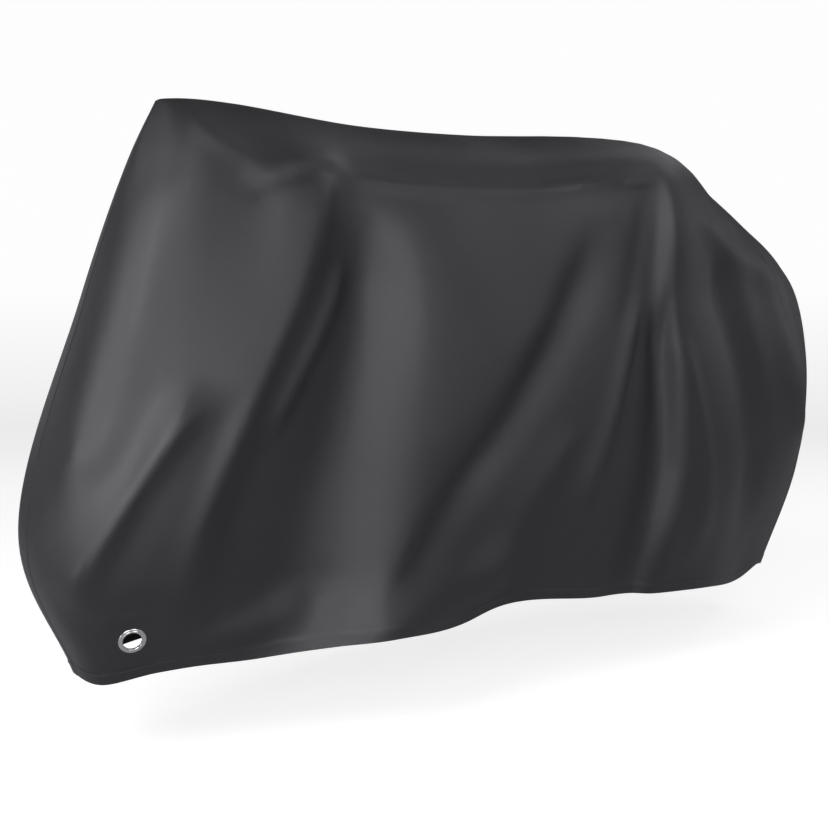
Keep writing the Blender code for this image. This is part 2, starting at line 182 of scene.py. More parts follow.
@dataclass
class Drape:
    """The shape in which the cloth hangs.

    A place on it is a run (metres round the cover from the rear seam, with its side's sign)
    and a fall (0 on the ridge, 1 at the hem). The rest is the highest point, over the saddle,
    which is the model's origin. The cloth is flat round each eyelet.
    """

    rest: tuple[float, float, float] = (-0.030, 0.0, 1.008)
    level_falls: tuple[float, ...] = (0.0, 0.14, 0.42, 0.78, 1.0)
    fall_metres: float = 0.95
    fade_before: float = 0.08
    fade_share: float = 0.25
    probe: float = 0.002
    eyelet_run: float = 0.171
    eyelet_fall: float = 0.931
    flat_radius: float = 0.036
    blend_radius: float = 0.054

    @property
    def run_length(self) -> float:
        """Return the run of the front seam."""
        return SECTIONS[-1].run

    @staticmethod
    def smooth_step(share: Array) -> Array:
        """Return 0 below 0 and 1 above 1, with a smooth rise between."""
        share = np.clip(share, 0.0, 1.0)
        return share * share * (3.0 - 2.0 * share)

    @staticmethod
    def slopes(knots: Array, points: Array) -> Array:
        """Find the slopes of smooth curves through points.

        Args:
            knots: the curves' parameter, along the last axis.
            points: the points, along the last axis but one.

        Returns:
            A slope for each point.
        """
        step = np.diff(knots, axis=-1)[..., None]
        chord = np.diff(points, axis=-2) / step
        inner = chord[..., :-1, :] * step[..., 1:, :] + chord[..., 1:, :] * step[..., :-1, :]
        inner = inner / (step[..., 1:, :] + step[..., :-1, :])
        return np.concatenate([chord[..., :1, :], inner, chord[..., -1:, :]], axis=-2)

    @staticmethod
    def hermite(share: Array, step: Array, ends: tuple[Array, Array],
                slopes: tuple[Array, Array]) -> Array:
        """Find the cubic between two ends.

        Args:
            share: the place between them, from 0 to 1.
            step: the parameter's length between them.
            ends: the two ends.
            slopes: the slope at each end.

        Returns:
            The points.
        """
        rise = share * share * (3.0 - 2.0 * share)
        return (ends[0] + rise * (ends[1] - ends[0])
                + step * share * (1.0 - share) ** 2 * slopes[0]
                - step * share ** 2 * (1.0 - share) * slopes[1])

    def section_loop(self) -> tuple[Array, Array]:
        """Join the sections of both sides into one closed loop, which overlaps by a section.

        Returns:
            The sections' runs, and their points as (section, level, xyz).
        """
        runs = np.array([section.run for section in SECTIONS])
        near = np.array([section.points() for section in SECTIONS])
        near[..., 1] *= -1.0
        far = near * np.array([1.0, -1.0, 1.0])
        turn = 2.0 * self.run_length
        loop_runs = np.concatenate([-runs[1:2], runs, turn - runs[-2::-1], turn + runs[1:2]])
        return loop_runs, np.concatenate([far[1:2], near, far[-2::-1], near[1:2]])

    def sections_at(self, run: Array) -> Array:
        """Find the line down the cloth at each run.

        Args:
            run: the runs, with their side's sign.

        Returns:
            The lines' points, as (run, level, xyz).
        """
        loop_runs, loop = self.section_loop()
        slope = self.slopes(loop_runs, loop.transpose(1, 0, 2)).transpose(1, 0, 2)
        place = np.mod(run, 2.0 * self.run_length)
        index = np.searchsorted(loop_runs, place, side="right") - 1
        step = (loop_runs[index + 1] - loop_runs[index])[:, None, None]
        share = (place - loop_runs[index])[:, None, None] / step
        return self.hermite(share, step, (loop[index], loop[index + 1]),
                            (slope[index], slope[index + 1]))

    def smooth(self, run: Array, fall: Array) -> Array:
        """Find the cloth without its folds, rounded over the ridge from side to side.

        Args:
            run: the runs.
            fall: the falls.

        Returns:
            The points, as (run, fall, xyz).
        """
        own = self.sections_at(run)
        other_shoulder = self.sections_at(-run)[:, 1:2]
        points = np.concatenate([other_shoulder, own], axis=1)
        chord = np.sqrt(np.linalg.norm(np.diff(points, axis=1), axis=2))
        knots = np.concatenate([np.zeros((len(run), 1)), np.cumsum(chord, axis=1)], axis=1)
        slope = self.slopes(knots, points)
        levels = np.array(self.level_falls)
        level = np.clip(np.searchsorted(levels, fall, side="right") - 1, 0, len(levels) - 2)
        share = (fall - levels[level]) / (levels[level + 1] - levels[level])
        start = level + 1
        step = (knots[:, start + 1] - knots[:, start])[..., None]
        return self.hermite(share[None, :, None], step,
                            (points[:, start], points[:, start + 1]),
                            (slope[:, start], slope[:, start + 1]))

    def outward(self, run: Array, fall: Array) -> Array:
        """Find the way out of the cover.

        Args:
            run: the runs.
            fall: the falls.

        Returns:
            Unit normals of the smooth cloth, as (run, fall, xyz).
        """
        inner = np.clip(fall, self.probe, 1.0)
        along = self.smooth(run + self.probe, inner) - self.smooth(run - self.probe, inner)
        high = self.smooth(run, np.clip(fall - self.probe, 0.0, 1.0))
        low = self.smooth(run, np.clip(fall + self.probe, 0.0, 1.0))
        normal = np.cross(low - high, along)
        return normal / np.linalg.norm(normal, axis=2, keepdims=True)

    def fold_height(self, run: Array, fall: Array) -> Array:
        """Find how far the folds stand out of the smooth cloth.

        Args:
            run: the runs.
            fall: the falls.

        Returns:
            The heights, as (run, fall).
        """
        height = np.zeros((len(run), len(fall)))
        for fold in FOLDS:
            top = np.array([fold.run_top, fold.fall_top * self.fall_metres])
            end = np.array([fold.run_end, fold.fall_end * self.fall_metres])
            length = np.linalg.norm(end - top)
            course = (end - top) / length
            ahead = run[:, None] * fold.side.value - top[0]
            below = fall[None, :] * self.fall_metres - top[1]
            share = (ahead * course[0] + below * course[1]) / length
            off = ahead * course[1] - below * course[0]
            off = off - fold.bow * 4.0 * share * (1.0 - share)
            width = fold.width_top + (fold.width_end - fold.width_top) * np.clip(share, 0, 1)
            width = width * np.where(off < 0.0, 1.0 + fold.lean, 1.0 - fold.lean)
            fade = self.smooth_step((share + self.fade_before) / self.fade_share)
            fade = fade * self.smooth_step((1.0 + self.fade_before - share) / self.fade_share)
            height += fold.height * fade * np.exp(-(off / width) ** 2)
        return height

    def folded(self, run: Array, fall: Array) -> Array:
        """Return the outer face with its folds, in the model's frame."""
        height = self.fold_height(run, fall)[..., None]
        return self.smooth(run, fall) + self.outward(run, fall) * height - np.array(self.rest)

    def eyelet_place(self, side: Side) -> tuple[Array, Array]:
        """Find where a side's eyelet sits.

        Args:
            side: the side.

        Returns:
            Its middle on the outer face, and the way out there.
        """
        run = np.array([side.value * self.eyelet_run])
        fall = np.array([self.eyelet_fall])
        return self.folded(run, fall)[0, 0], self.outward(run, fall)[0, 0]

    def eyelet_frame(self, side: Side) -> Matrix:
        """Find the move that takes a ring from round z at the origin to a side's eyelet.

        Args:
            side: the side.

        Returns:
            The move's matrix.
        """
        centre, normal = self.eyelet_place(side)
        turn = Vector(normal).to_track_quat("Z", "Y").to_matrix().to_4x4()
        return Matrix.Translation(Vector(centre)) @ turn

    def outer_face(self, run: Array, fall: Array) -> Array:
        """Find the outer face, folded and pulled flat round the eyelets.

        Args:
            run: the runs.
            fall: the falls.

        Returns:
            The points, as (run, fall, xyz).
        """
        points = self.folded(run, fall)
        for side in Side:
            centre, normal = self.eyelet_place(side)
            offset = points - centre
            height = offset @ normal
            distance = np.linalg.norm(offset, axis=-1)
            blend = self.blend_radius - self.flat_radius
            hold = self.smooth_step((self.blend_radius - distance) / blend)
            points = points - (hold * height)[..., None] * normal
        return points


# ---- Finishes ----


class NodeSheet:
    """A node tree with short ways to add, set and join nodes."""

    def __init__(self, tree: bpy.types.NodeTree) -> None:
        """Keep the tree."""
        self.tree = tree

    @classmethod
    def for_material(cls, name: str) -> "tuple[bpy.types.Material, NodeSheet, bpy.types.Node]":
        """Start a material.

        Args:
            name: its name.

        Returns:
            The material, the sheet of its nodes, and its shader.
        """
        material = bpy.data.materials.new(name)
        material.use_nodes = True
        tree = material.node_tree
        return material, cls(tree), tree.nodes["Principled BSDF"]

    def feed(self, node: bpy.types.Node, feeds: Feeds) -> None:
        """Set or join a node's inputs.

        Args:
            node: the node.
            feeds: by input, a value, or the output socket that it is joined to.
        """
        for name, value in feeds.items():
            if isinstance(value, bpy.types.NodeSocket):
                self.tree.links.new(value, node.inputs[name])
            else:
                node.inputs[name].default_value = value

    def add(self, kind: str, feeds: Feeds | None = None, **values: object) -> bpy.types.Node:
        """Add a node.

        Args:
            kind: the node's type name.
            feeds: what its inputs are set or joined to.
            values: attributes of the node, such as operation.

        Returns:
            The node.
        """
        node = self.tree.nodes.new(kind)
        for name, value in values.items():
            setattr(node, name, value)
        self.feed(node, feeds or {})
        return node

    def math(self, operation: str, first: object, second: object = 0.0) -> bpy.types.NodeSocket:
        """Add a Math node.

        Args:
            operation: its operation.
            first: a socket or a number.
            second: a socket or a number, where the operation takes two.

        Returns:
            Its output socket.
        """
        node = self.add("ShaderNodeMath", operation=operation)
        self.feed(node, {0: first, 1: second})
        return node.outputs[0]

    def mix(self, share: bpy.types.NodeSocket, first: Colour,
            second: Colour) -> bpy.types.NodeSocket:
        """Blend two colours.

        Args:
            share: the socket that says how much of the second shows.
            first: the first colour.
            second: the second colour.

        Returns:
            The output socket.
        """
        node = self.add("ShaderNodeMix", data_type="RGBA")
        self.feed(node, {"A": (*first, 1.0), "B": (*second, 1.0), "Factor": share})
        return node.outputs["Result"]

    def span(self, share: bpy.types.NodeSocket,
             ends: tuple[float, float]) -> bpy.types.NodeSocket:
        """Take a share from 0 to 1 to a value between two ends.

        Args:
            share: the share's socket.
            ends: the values at 0 and at 1.

        Returns:
            The output socket.
        """
        node = self.add("ShaderNodeMapRange",
                        {"To Min": ends[0], "To Max": ends[1], "Value": share})
        return node.outputs["Result"]


class SharedGroup:
    """A node group that is made once, and placed in each material that uses it."""

    name: str
    amount: str
    output: str

    @classmethod
    def fill(cls, sheet: NodeSheet, place: bpy.types.NodeSocket,
             per_metre: bpy.types.NodeSocket) -> bpy.types.NodeSocket:
        """Add the group's own nodes.

        Args:
            sheet: the group's sheet of nodes.
            place: the socket of the place on the piece.
            per_metre: the socket of the number per metre.

        Returns:
            The socket that the group puts out.
        """
        raise NotImplementedError(cls.name)

    @classmethod
    def make(cls) -> bpy.types.NodeTree:
        """Make the group.

        Returns:
            Its node tree.
        """
        tree = bpy.data.node_groups.new(cls.name, "ShaderNodeTree")
        tree.interface.new_socket("Place", in_out="INPUT", socket_type="NodeSocketVector")
        tree.interface.new_socket(cls.amount, in_out="INPUT", socket_type="NodeSocketFloat")
        tree.interface.new_socket(cls.output, in_out="OUTPUT", socket_type="NodeSocketFloat")
        sheet = NodeSheet(tree)
        entry = sheet.add("NodeGroupInput")
        result = cls.fill(sheet, entry.outputs["Place"], entry.outputs[cls.amount])
        sheet.add("NodeGroupOutput", {cls.output: result})
        return tree

    @classmethod
    def use(cls, sheet: NodeSheet, place: bpy.types.NodeSocket,
            per_metre: float) -> bpy.types.NodeSocket:
        """Place the group in a material, and make it first if it isn't there yet.

        Args:
            sheet: the material's sheet of nodes.
            place: the socket of the place on the piece.
            per_metre: the number of threads or patches per metre.

        Returns:
            The socket that it puts out.
        """
        tree = bpy.data.node_groups.get(cls.name) or cls.make()
        group = sheet.add("ShaderNodeGroup", node_tree=tree)
        sheet.feed(group, {cls.amount: per_metre, "Place": place})
        return group.outputs[cls.output]


class WeaveGroup(SharedGroup):
    """The height of a plain weave's threads, laid on a map in metres."""

    name = "plain weave"
    amount = "Threads per metre"
    output = "Height"

    @classmethod
    def fill(cls, sheet: NodeSheet, place: bpy.types.NodeSocket,
             per_metre: bpy.types.NodeSocket) -> bpy.types.NodeSocket:
        """Add the waves of the warp and the weft.

        Args:
            sheet: the group's sheet of nodes.
            place: the socket of the place on the piece.
            per_metre: the socket of the number of threads per metre.

        Returns:
            The socket of the height.
        """
        split = sheet.add("ShaderNodeSeparateXYZ", {"Vector": place})
        waves = []
        for axis in ("X", "Y"):
            turns = sheet.math("MULTIPLY", split.outputs[axis], per_metre)
            waves.append(sheet.math("SINE", sheet.math("MULTIPLY", turns, math.pi)))
        return sheet.math("MULTIPLY", *waves)


class BlotchGroup(SharedGroup):
    """A mask of soft uneven patches, such as dust on cloth or haze on metal."""

    name = "soft patches"
    amount = "Patches per metre"
    output = "Mask"
    detail = 4.0
    roughness = 0.55
    low = 0.3
    high = 0.7

    @classmethod
    def fill(cls, sheet: NodeSheet, place: bpy.types.NodeSocket,
             per_metre: bpy.types.NodeSocket) -> bpy.types.NodeSocket:
        """Add the noise, spread from 0 to 1.

        Args:
            sheet: the group's sheet of nodes.
            place: the socket of the place on the piece.
            per_metre: the socket of the number of patches per metre.

        Returns:
            The socket of the mask.
        """
        noise = sheet.add("ShaderNodeTexNoise", {
            "Detail": cls.detail, "Roughness": cls.roughness, "Vector": place,
            "Scale": per_metre})
        spread = sheet.add("ShaderNodeMapRange", {
            "From Min": cls.low, "From Max": cls.high, "Value": noise.outputs["Fac"]})
        return spread.outputs["Result"]


@dataclass(frozen=True)
class CoverClothFinish:
    """Black coated polyester with a satin sheen and a fine plain weave."""

    name: str = "black_cover_cloth"
    dark: Colour = (0.0115, 0.0115, 0.0122)
    pale: Colour = (0.0150, 0.0150, 0.0162)
    roughness: tuple[float, float] = (0.36, 0.42)
    specular: float = 0.58
    sheen: float = 0.03
    sheen_roughness: float = 0.45
    patches: float = 5.0
    threads: float = 1500.0
    weave_depth: float = 0.00006
    crinkles: float = 26.0
    crinkle_detail: float = 3.0
    crinkle_twist: float = 0.6
    crinkle_depth: float = 0.0006

    def build(self) -> bpy.types.Material:
        """Make the material.

        Returns:
            The material.
        """
        material, sheet, shader = NodeSheet.for_material(self.name)
        place = sheet.add("ShaderNodeUVMap", uv_map=CLOTH_MAP).outputs["UV"]
        mask = BlotchGroup.use(sheet, place, self.patches)
        sheet.feed(shader, {
            "Specular IOR Level": self.specular, "Sheen Weight": self.sheen,
            "Sheen Roughness": self.sheen_roughness,
            "Base Color": sheet.mix(mask, self.dark, self.pale),
            "Roughness": sheet.span(mask, self.roughness)})
        weave = WeaveGroup.use(sheet, place, self.threads)
        threads = sheet.math("MULTIPLY", weave, self.weave_depth)
        crinkle = sheet.add("ShaderNodeTexNoise", {
            "Scale": self.crinkles, "Detail": self.crinkle_detail,
            "Distortion": self.crinkle_twist, "Vector": place})
        soft = sheet.math("MULTIPLY", crinkle.outputs["Fac"], self.crinkle_depth)
        bump = sheet.add("ShaderNodeBump", {
            "Strength": 1.0, "Distance": 1.0, "Height": sheet.math("ADD", threads, soft)})
        sheet.feed(shader, {"Normal": bump.outputs["Normal"]})
        return material


@dataclass(frozen=True)
class ThreadFinish:
    """Black sewing thread, a little glossier than the cloth, with painted shade in darker diagonal
    bands along the grooves of its twisted plies.
    """

    name: str = "black_sewing_thread"
    colour: Colour = (0.045, 0.045, 0.050)
    # Share of the colour left in the darker bands: painted shade in the grooves between the plies.
    groove_shade: float = 0.7
    roughness: float = 0.38
    sheen: float = 0.2
    twists: float = 900.0

    def build(self) -> bpy.types.Material:
        """Make the material.

        Returns:
            The material.
        """
        material, sheet, shader = NodeSheet.for_material(self.name)
        place = sheet.add("ShaderNodeTexCoord").outputs["Object"]
        # Darker diagonal bands: painted shade in the grooves of the twisted thread.
        twist_shade = sheet.add("ShaderNodeTexWave", {"Scale": self.twists, "Vector": place},
                          wave_type="BANDS", bands_direction="DIAGONAL")
        dark = tuple(self.groove_shade * part for part in self.colour)
        sheet.feed(shader, {
            "Roughness": self.roughness, "Sheen Weight": self.sheen,
            "Base Color": sheet.mix(twist_shade.outputs["Fac"], dark, self.colour)})
        return material


@dataclass(frozen=True)
class PlatedMetalFinish:
    """Bright plated metal with a little uneven haze."""

    name: str = "plated_eyelet_metal"
    colour: Colour = (0.72, 0.72, 0.71)
    haze: Colour = (0.55, 0.55, 0.54)
    roughness: tuple[float, float] = (0.16, 0.30)
    patches: float = 180.0

    def build(self) -> bpy.types.Material:
        """Make the material.

        Returns:
            The material.
        """
        material, sheet, shader = NodeSheet.for_material(self.name)
        place = sheet.add("ShaderNodeTexCoord").outputs["Object"]
        mask = BlotchGroup.use(sheet, place, self.patches)
        sheet.feed(shader, {
            "Metallic": 1.0, "Base Color": sheet.mix(mask, self.colour, self.haze),
            "Roughness": sheet.span(mask, self.roughness)})
        return material


@dataclass(frozen=True)
class StudioFinish:
    """Matt paper, pale on the floor and dimmer up the wall, which glows a little to the eye."""

    name: str = "pale_studio_paper"
    floor: Colour = (0.85, 0.85, 0.85)
    wall: Colour = (0.08, 0.08, 0.08)
    glow: tuple[float, float] = (0.60, 0.97)
    wall_span: tuple[float, float] = (-0.98, 1.0)
    roughness: float = 0.9
    specular: float = 0.1

    def build(self) -> bpy.types.Material:
        """Make the material.

        Returns:
            The material.
        """
        material, sheet, shader = NodeSheet.for_material(self.name)
        place = sheet.add("ShaderNodeTexCoord").outputs["Object"]
        split = sheet.add("ShaderNodeSeparateXYZ", {"Vector": place})
        rise = sheet.add("ShaderNodeMapRange", {
            "From Min": self.wall_span[0], "From Max": self.wall_span[1],
            "Value": split.outputs["Z"]}).outputs["Result"]
        seen = sheet.add("ShaderNodeLightPath").outputs["Is Camera Ray"]
        sheet.feed(shader, {
            "Roughness": self.roughness, "Specular IOR Level": self.specular,
            "Emission Color": WHITE, "Base Color": sheet.mix(rise, self.floor, self.wall),
            "Emission Strength": sheet.math("MULTIPLY", seen, sheet.span(rise, self.glow))})
        return material


# ---- Pieces ----


def deselect_all() -> None:
    """Leave object mode ready for a new piece, with nothing selected."""
    if bpy.context.object is not None and bpy.context.object.mode != "OBJECT":
        bpy.ops.object.mode_set(mode="OBJECT")
    bpy.ops.object.select_all(action="DESELECT")


def make_active(piece: bpy.types.Object) -> None:
    """Select one piece only.

    Args:
        piece: the piece.
    """
    deselect_all()
    piece.select_set(True)
    bpy.context.view_layer.objects.active = piece


def piece_from(sheet: bmesh.types.BMesh, name: str) -> bpy.types.Object:
    """Turn a working mesh into a piece of the scene.

    Args:
        sheet: the working mesh, which is freed.
        name: the piece's name.

    Returns:
        The piece.
    """
    mesh = bpy.data.meshes.new(name)
    sheet.to_mesh(mesh)
    sheet.free()
    piece = bpy.data.objects.new(name, mesh)
    bpy.context.scene.collection.objects.link(piece)
    return piece


@dataclass(frozen=True)
class ColumnSpan:
    """A stretch of the run, up to its end (m), with its number of columns per metre."""

    name: str
    run_end: float
    per_metre: float


@dataclass
class CoverCloth:
    """The cover's one sheet of cloth, closed by a seam at each end."""

    drape: Drape
    spans: tuple[ColumnSpan, ...] = (
        ColumnSpan("rear corner", 0.10, 90.0),
        ColumnSpan("saddle folds", 0.64, 120.0),
        ColumnSpan("middle", 1.02, 95.0),
        ColumnSpan("grip folds", 1.26, 210.0),
        ColumnSpan("front", 2.01, 80.0),
    )
    seam_columns: tuple[float, ...] = (0.0, 0.0015, 0.003, 0.005, 0.009)
    seam_gap: float = 0.004
    rows: int = 78
    hem_rows: int = 10
    hem_start: float = 0.972
    thickness: float = 0.0012
    hem_depth: float = 0.021
    hem_lift: float = 0.0007
    hem_slope: float = 0.004
    seam_lift: float = 0.0009
    seam_width: float = 0.0022
    weld: float = 0.00001
    hole_radius: float = 0.0165
    hole_steps: int = 96
    cutter_thicknesses: float = 10.0
    smooth_angle: float = 50.0

    def runs(self) -> Array:
        """Space out the columns, close together at the two seams.

        Returns:
            The columns' runs on one side.
        """
        ends = np.array(self.seam_columns)
        length = self.drape.run_length
        span_ends = np.array([0.0] + [span.run_end for span in self.spans])
        counts = np.diff(span_ends) * np.array([span.per_metre for span in self.spans])
        totals = np.concatenate([[0.0], np.cumsum(counts)])
        middle = np.interp(np.linspace(0.0, totals[-1], round(totals[-1])), totals, span_ends)
        first = ends[-1] + self.seam_gap
        last = length - ends[-1] - self.seam_gap
        middle = middle[(middle > first) & (middle < last)]
        return np.concatenate([ends, middle, length - ends[::-1]])

    def falls(self) -> Array:
        """Return the rows' falls, close together at the hem."""
        upper = np.linspace(0.0, self.hem_start, self.rows + 1)
        return np.concatenate([upper, np.linspace(self.hem_start, 1.0, self.hem_rows + 1)[1:]])

    def side_points(self, side: Side) -> tuple[Array, Array]:
        """Find one side's points, raised a little at the hem's fold and at the seams.

        Args:
            side: the side.

        Returns:
            The points, and the distance of each from the hem.
        """
        run = self.runs() * side.value
        fall = self.falls()
        points = self.drape.outer_face(run, fall)
        step = np.linalg.norm(np.diff(points, axis=1), axis=2)
        to_hem = np.concatenate([step[:, ::-1].cumsum(axis=1)[:, ::-1],
                                 np.zeros((len(run), 1))], axis=1)
        lift = self.hem_lift * Drape.smooth_step((self.hem_depth - to_hem) / self.hem_slope + 0.5)
        from_seam = np.minimum(np.abs(run), self.drape.run_length - np.abs(run))[:, None]
        lift = lift + self.seam_lift * np.exp(-(from_seam / self.seam_width) ** 2)
        return points + self.drape.outward(run, fall) * lift[..., None], to_hem

    def bare_sheet(self) -> bmesh.types.BMesh:
        """Make the sheet without thickness, both sides as one, with its map in metres.

        Returns:
            The working mesh, with its faces pointing outwards.
        """
        near, near_to_hem = self.side_points(Side.NEAR)
        far, far_to_hem = self.side_points(Side.FAR)
        points = np.concatenate([near[:, :0:-1], far], axis=1)
        to_hem = np.concatenate([near_to_hem[:, :0:-1], far_to_hem], axis=1)
        columns, rows = to_hem.shape
        runs = self.runs()
        ridge = rows // 2
        sheet = bmesh.new()
        grid = [[sheet.verts.new(points[i, j]) for j in range(rows)] for i in range(columns)]
        layer = sheet.loops.layers.uv.new(CLOTH_MAP)
        for i in range(columns - 1):
            for j in range(rows - 1):
                corners = ((i, j), (i, j + 1), (i + 1, j + 1), (i + 1, j))
                face = sheet.faces.new([grid[a][b] for a, b in corners])
                face.smooth = True
                for loop, (a, b) in zip(face.loops, corners):
                    side = -1.0 if b < ridge else 1.0
                    loop[layer].uv = (runs[a], side * (1.0 - to_hem[a, b]))
        bmesh.ops.remove_doubles(sheet, verts=sheet.verts, dist=self.weld)
        sheet.normal_update()
        nearest = min(sheet.faces, key=lambda face: face.calc_center_median().y)
        if nearest.normal.y > 0.0:
            bmesh.ops.reverse_faces(sheet, faces=sheet.faces)
        return sheet

    def build(self) -> bpy.types.Object:
        """Make the cloth as one closed mesh with its seams, its thickness and its holes.

        Returns:
            The cloth.
        """
        cloth = piece_from(self.bare_sheet(), "cover_cloth_fine")
        self.thicken(cloth)
        for side in Side:
            self.punch(cloth, side)
        make_active(cloth)
        bpy.ops.object.shade_smooth_by_angle(angle=math.radians(self.smooth_angle))
        return cloth

    def thicken(self, cloth: bpy.types.Object) -> None:
        """Give the sheet its thickness, inwards.

        Args:
            cloth: the sheet.
        """
        make_active(cloth)
        solidify = cloth.modifiers.new("thickness", "SOLIDIFY")
        solidify.thickness = self.thickness
        solidify.offset = -1.0
        solidify.use_even_offset = True
        bpy.ops.object.modifier_apply(modifier=solidify.name)

    def punch(self, cloth: bpy.types.Object, side: Side) -> None:
        """Open the hole for one eyelet.

        Args:
            cloth: the cloth.
            side: the eyelet's side.
        """
        deselect_all()
        bpy.ops.mesh.primitive_cylinder_add(vertices=self.hole_steps, radius=self.hole_radius,
                                            depth=self.cutter_thicknesses * self.thickness)
        cutter = bpy.context.object
        cutter.matrix_world = self.drape.eyelet_frame(side)
        make_active(cloth)
        hole = cloth.modifiers.new("hole", "BOOLEAN")
        hole.operation = "DIFFERENCE"
        hole.object = cutter
        bpy.ops.object.modifier_apply(modifier=hole.name)
        bpy.data.objects.remove(cutter)


@dataclass(frozen=True)
class ThreadRing:
    """A ring of a stitch: its share of the way, its sink and its size, both in radii."""

    share: float
    sink: float
    size: float


@dataclass
class HemStitching:
    """The row of stitches that holds the hem's fold."""

    drape: Drape
    from_hem: float = 0.018
    line_falls: tuple[float, float] = (0.97, 1.0)
    normal_fall: float = 0.985
    end_gap: float = 0.004
    samples: int = 1200
    pitch: float = 0.0042
    stitch: float = 0.0031
    radius: float = 0.00035
    proud: float = 0.00105
    sides: int = 6
    rings: tuple[ThreadRing, ...] = (
        ThreadRing(0.0, 0.9, 0.5),
        ThreadRing(0.25, 0.25, 1.0),
        ThreadRing(0.75, 0.25, 1.0),
        ThreadRing(1.0, 0.9, 0.5),
    )

    def hem_line(self, side: Side, run: Array) -> tuple[Array, Array]:
        """Find the line that the stitches follow.

        Args:
            side: the side.
            run: the runs, without a sign.

        Returns:
            The line's point and the cloth's normal at each run.
        """
        signed = run * side.value
        edge = self.drape.outer_face(signed, np.array(self.line_falls))
        reach = np.linalg.norm(edge[:, 1] - edge[:, 0], axis=1)
        share = (self.from_hem / reach)[:, None]
        normal = self.drape.outward(signed, np.array([self.normal_fall]))[:, 0]
        return edge[:, 1] + (edge[:, 0] - edge[:, 1]) * share, normal

    def stations(self, side: Side) -> tuple[Array, Array]:
        """Find where each stitch starts and ends, evenly along the line.

        Args:
            side: the side.

        Returns:
            The places and the normals, as (start or end, stitch, xyz).
        """
        run = np.linspace(self.end_gap, self.drape.run_length - self.end_gap, self.samples)
        line, normal = self.hem_line(side, run)
        length = np.concatenate([[0.0], np.linalg.norm(np.diff(line, axis=0), axis=1).cumsum()])
        starts = np.arange(0.0, length[-1] - self.pitch, self.pitch)
        halves = np.concatenate([starts, starts + self.stitch])
        places = np.stack([np.interp(halves, length, line[:, axis]) for axis in range(3)], 1)
        normals = np.stack([np.interp(halves, length, normal[:, axis]) for axis in range(3)], 1)
        normals /= np.linalg.norm(normals, axis=1, keepdims=True)
        return places.reshape(2, -1, 3), normals.reshape(2, -1, 3)

    def build(self) -> bpy.types.Object:
        """Make all the stitches as one mesh.

        Returns:
            The stitches.
        """
        sheet = bmesh.new()
        for side in Side:
            places, normals = self.stations(side)
            for start, end, up in zip(places[0], places[1], normals[0]):
                self.add_stitch(sheet, Vector(start), Vector(end), Vector(up))
        return piece_from(sheet, "hem_stitching")

    def add_stitch(self, sheet: bmesh.types.BMesh, start: Vector, end: Vector,
                   up: Vector) -> None:
        """Add one stitch: a short thread whose two ends dip into the cloth.

        Args:
            sheet: the mesh that takes it.
            start: where it comes out of the cloth.
            end: where it goes back in.
            up: the way out of the cloth.
        """
        course = (end - start).normalized()
        across = course.cross(up).normalized()
        loops = []
        for ring in self.rings:
            centre = start.lerp(end, ring.share) + up * (self.proud - ring.sink * self.radius)
            loop = []
            for step in range(self.sides):
                angle = math.tau * step / self.sides
                spoke = across * math.cos(angle) + up * math.sin(angle)
                loop.append(sheet.verts.new(centre + spoke * self.radius * ring.size))
            loops.append(loop)
        for first, second in zip(loops, loops[1:]):
            for step in range(self.sides):
                after = (step + 1) % self.sides
                face = sheet.faces.new((first[step], first[after], second[after], second[step]))
                face.smooth = True
        sheet.faces.new(loops[0][::-1])
        sheet.faces.new(loops[-1])


